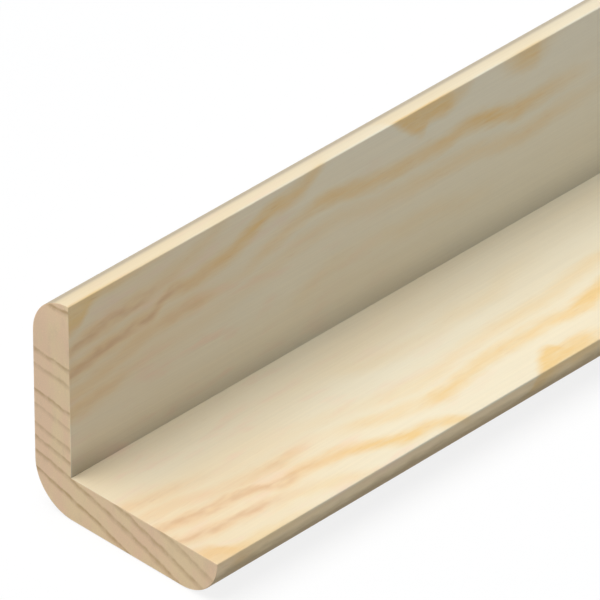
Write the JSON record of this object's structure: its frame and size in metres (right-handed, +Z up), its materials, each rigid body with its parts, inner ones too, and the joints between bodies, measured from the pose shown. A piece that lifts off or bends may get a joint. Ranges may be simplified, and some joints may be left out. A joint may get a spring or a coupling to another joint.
{
  "type": "corner guard moulding",
  "caption": "Planed softwood L-section moulding with a rounded outer corner and rounded leg tips, fixed over an outside wall corner to protect and cover it.",
  "frame": {"origin": "centre of the bounding box of the underside, at mid length, on the plane that the flat leg lies on", "axes": "+X along the length, +Y from the flat leg's tip towards the upright leg, +Z up along the upright leg"},
  "size_m": [2.4, 0.03, 0.03],
  "materials": {
    "planed_pine": "bare planed and sanded pine"
  },
  "bodies": {
    "root": {"corner_guard_moulding": "planed_pine"}
  },
  "joints": []
}
